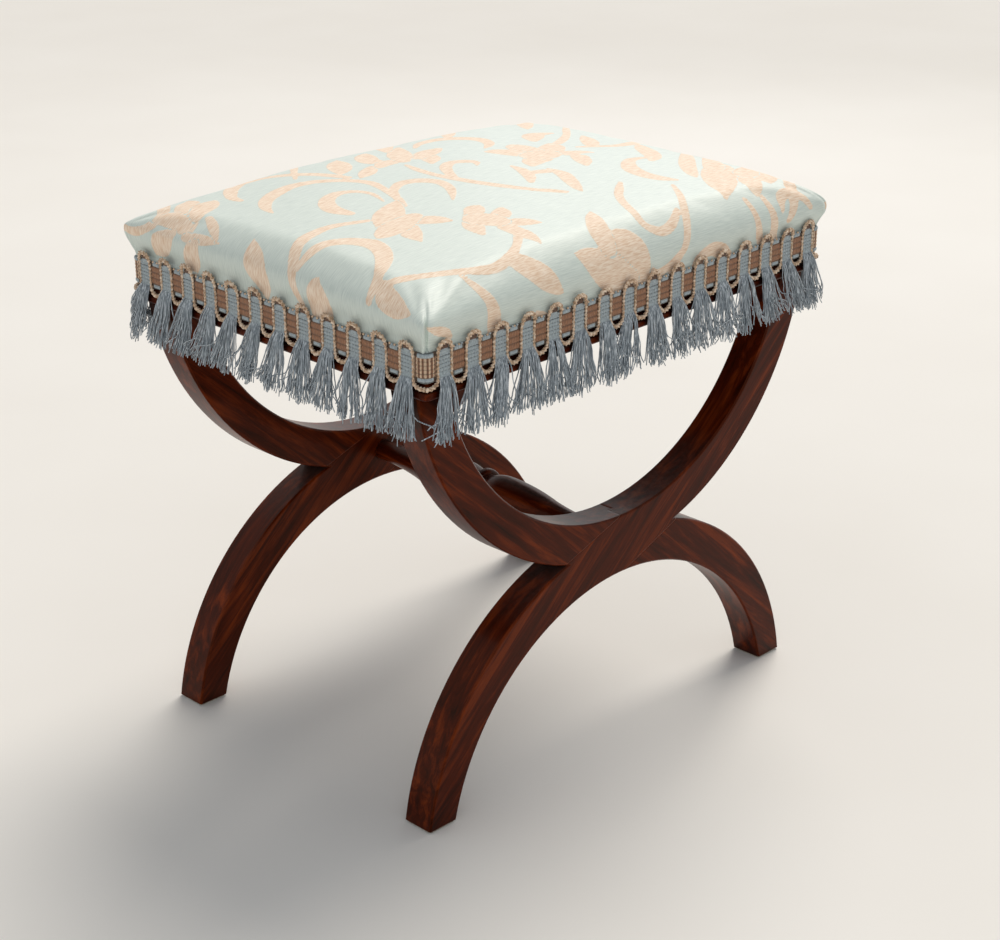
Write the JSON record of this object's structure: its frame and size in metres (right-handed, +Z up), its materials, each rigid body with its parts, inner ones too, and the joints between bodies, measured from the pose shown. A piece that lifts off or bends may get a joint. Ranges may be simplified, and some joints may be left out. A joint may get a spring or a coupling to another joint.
{
  "type": "x frame stool",
  "caption": "Upholstered stool on two crossed, curved hardwood frames joined by a turned stretcher, with a crowned damask seat edged in gimp braid and hanging tassel fringe.",
  "frame": {"origin": "on the floor, under the middle of the seat", "axes": "+X along the seat's long side, +Y from the front X frame to the rear one, +Z up"},
  "size_m": [0.521, 0.3972, 0.498],
  "materials": {
    "mahogany": "french polished, glossy",
    "beech": "planed, unfinished",
    "felt": "pressed felt",
    "screw_steel": "bright zinc",
    "tack_steel": "blued cut tacks",
    "webbing": "woven jute twill",
    "hessian": "open plain weave",
    "stuffing": "curled hair and fibre",
    "wadding": "cotton wadding",
    "damask": "duck-egg satin damask with peach scrolling leaves",
    "gimp": "woven blue-grey and brown braid with a tan cord",
    "fringe": "loose blue-grey rayon yarns",
    "dust_cloth": "black calico"
  },
  "bodies": {
    "root": {"front_left_leg": "mahogany", "front_right_leg": "mahogany", "rear_right_leg": "mahogany", "rear_left_leg": "mahogany", "turned_stretcher": "mahogany", "foot_pads": "felt", "front_moulding": "mahogany", "rear_moulding": "mahogany", "left_moulding": "mahogany", "right_moulding": "mahogany", "front_rail": "beech", "rear_rail": "beech", "left_rail": "beech", "right_rail": "beech", "corner_blocks": "beech", "block_screws": "screw_steel", "leg_dowels": "beech", "rail_dowels": "beech", "long_webbing": "webbing", "cross_webbing": "webbing", "webbing_tacks": "tack_steel", "hessian": "hessian", "seat_pad": "stuffing", "wadding": "wadding", "damask_cover": "damask", "gimp_braid": "gimp", "fringe_tassels": "fringe", "dust_cover": "dust_cloth", "dust_cover_tacks": "tack_steel"}
  },
  "joints": []
}
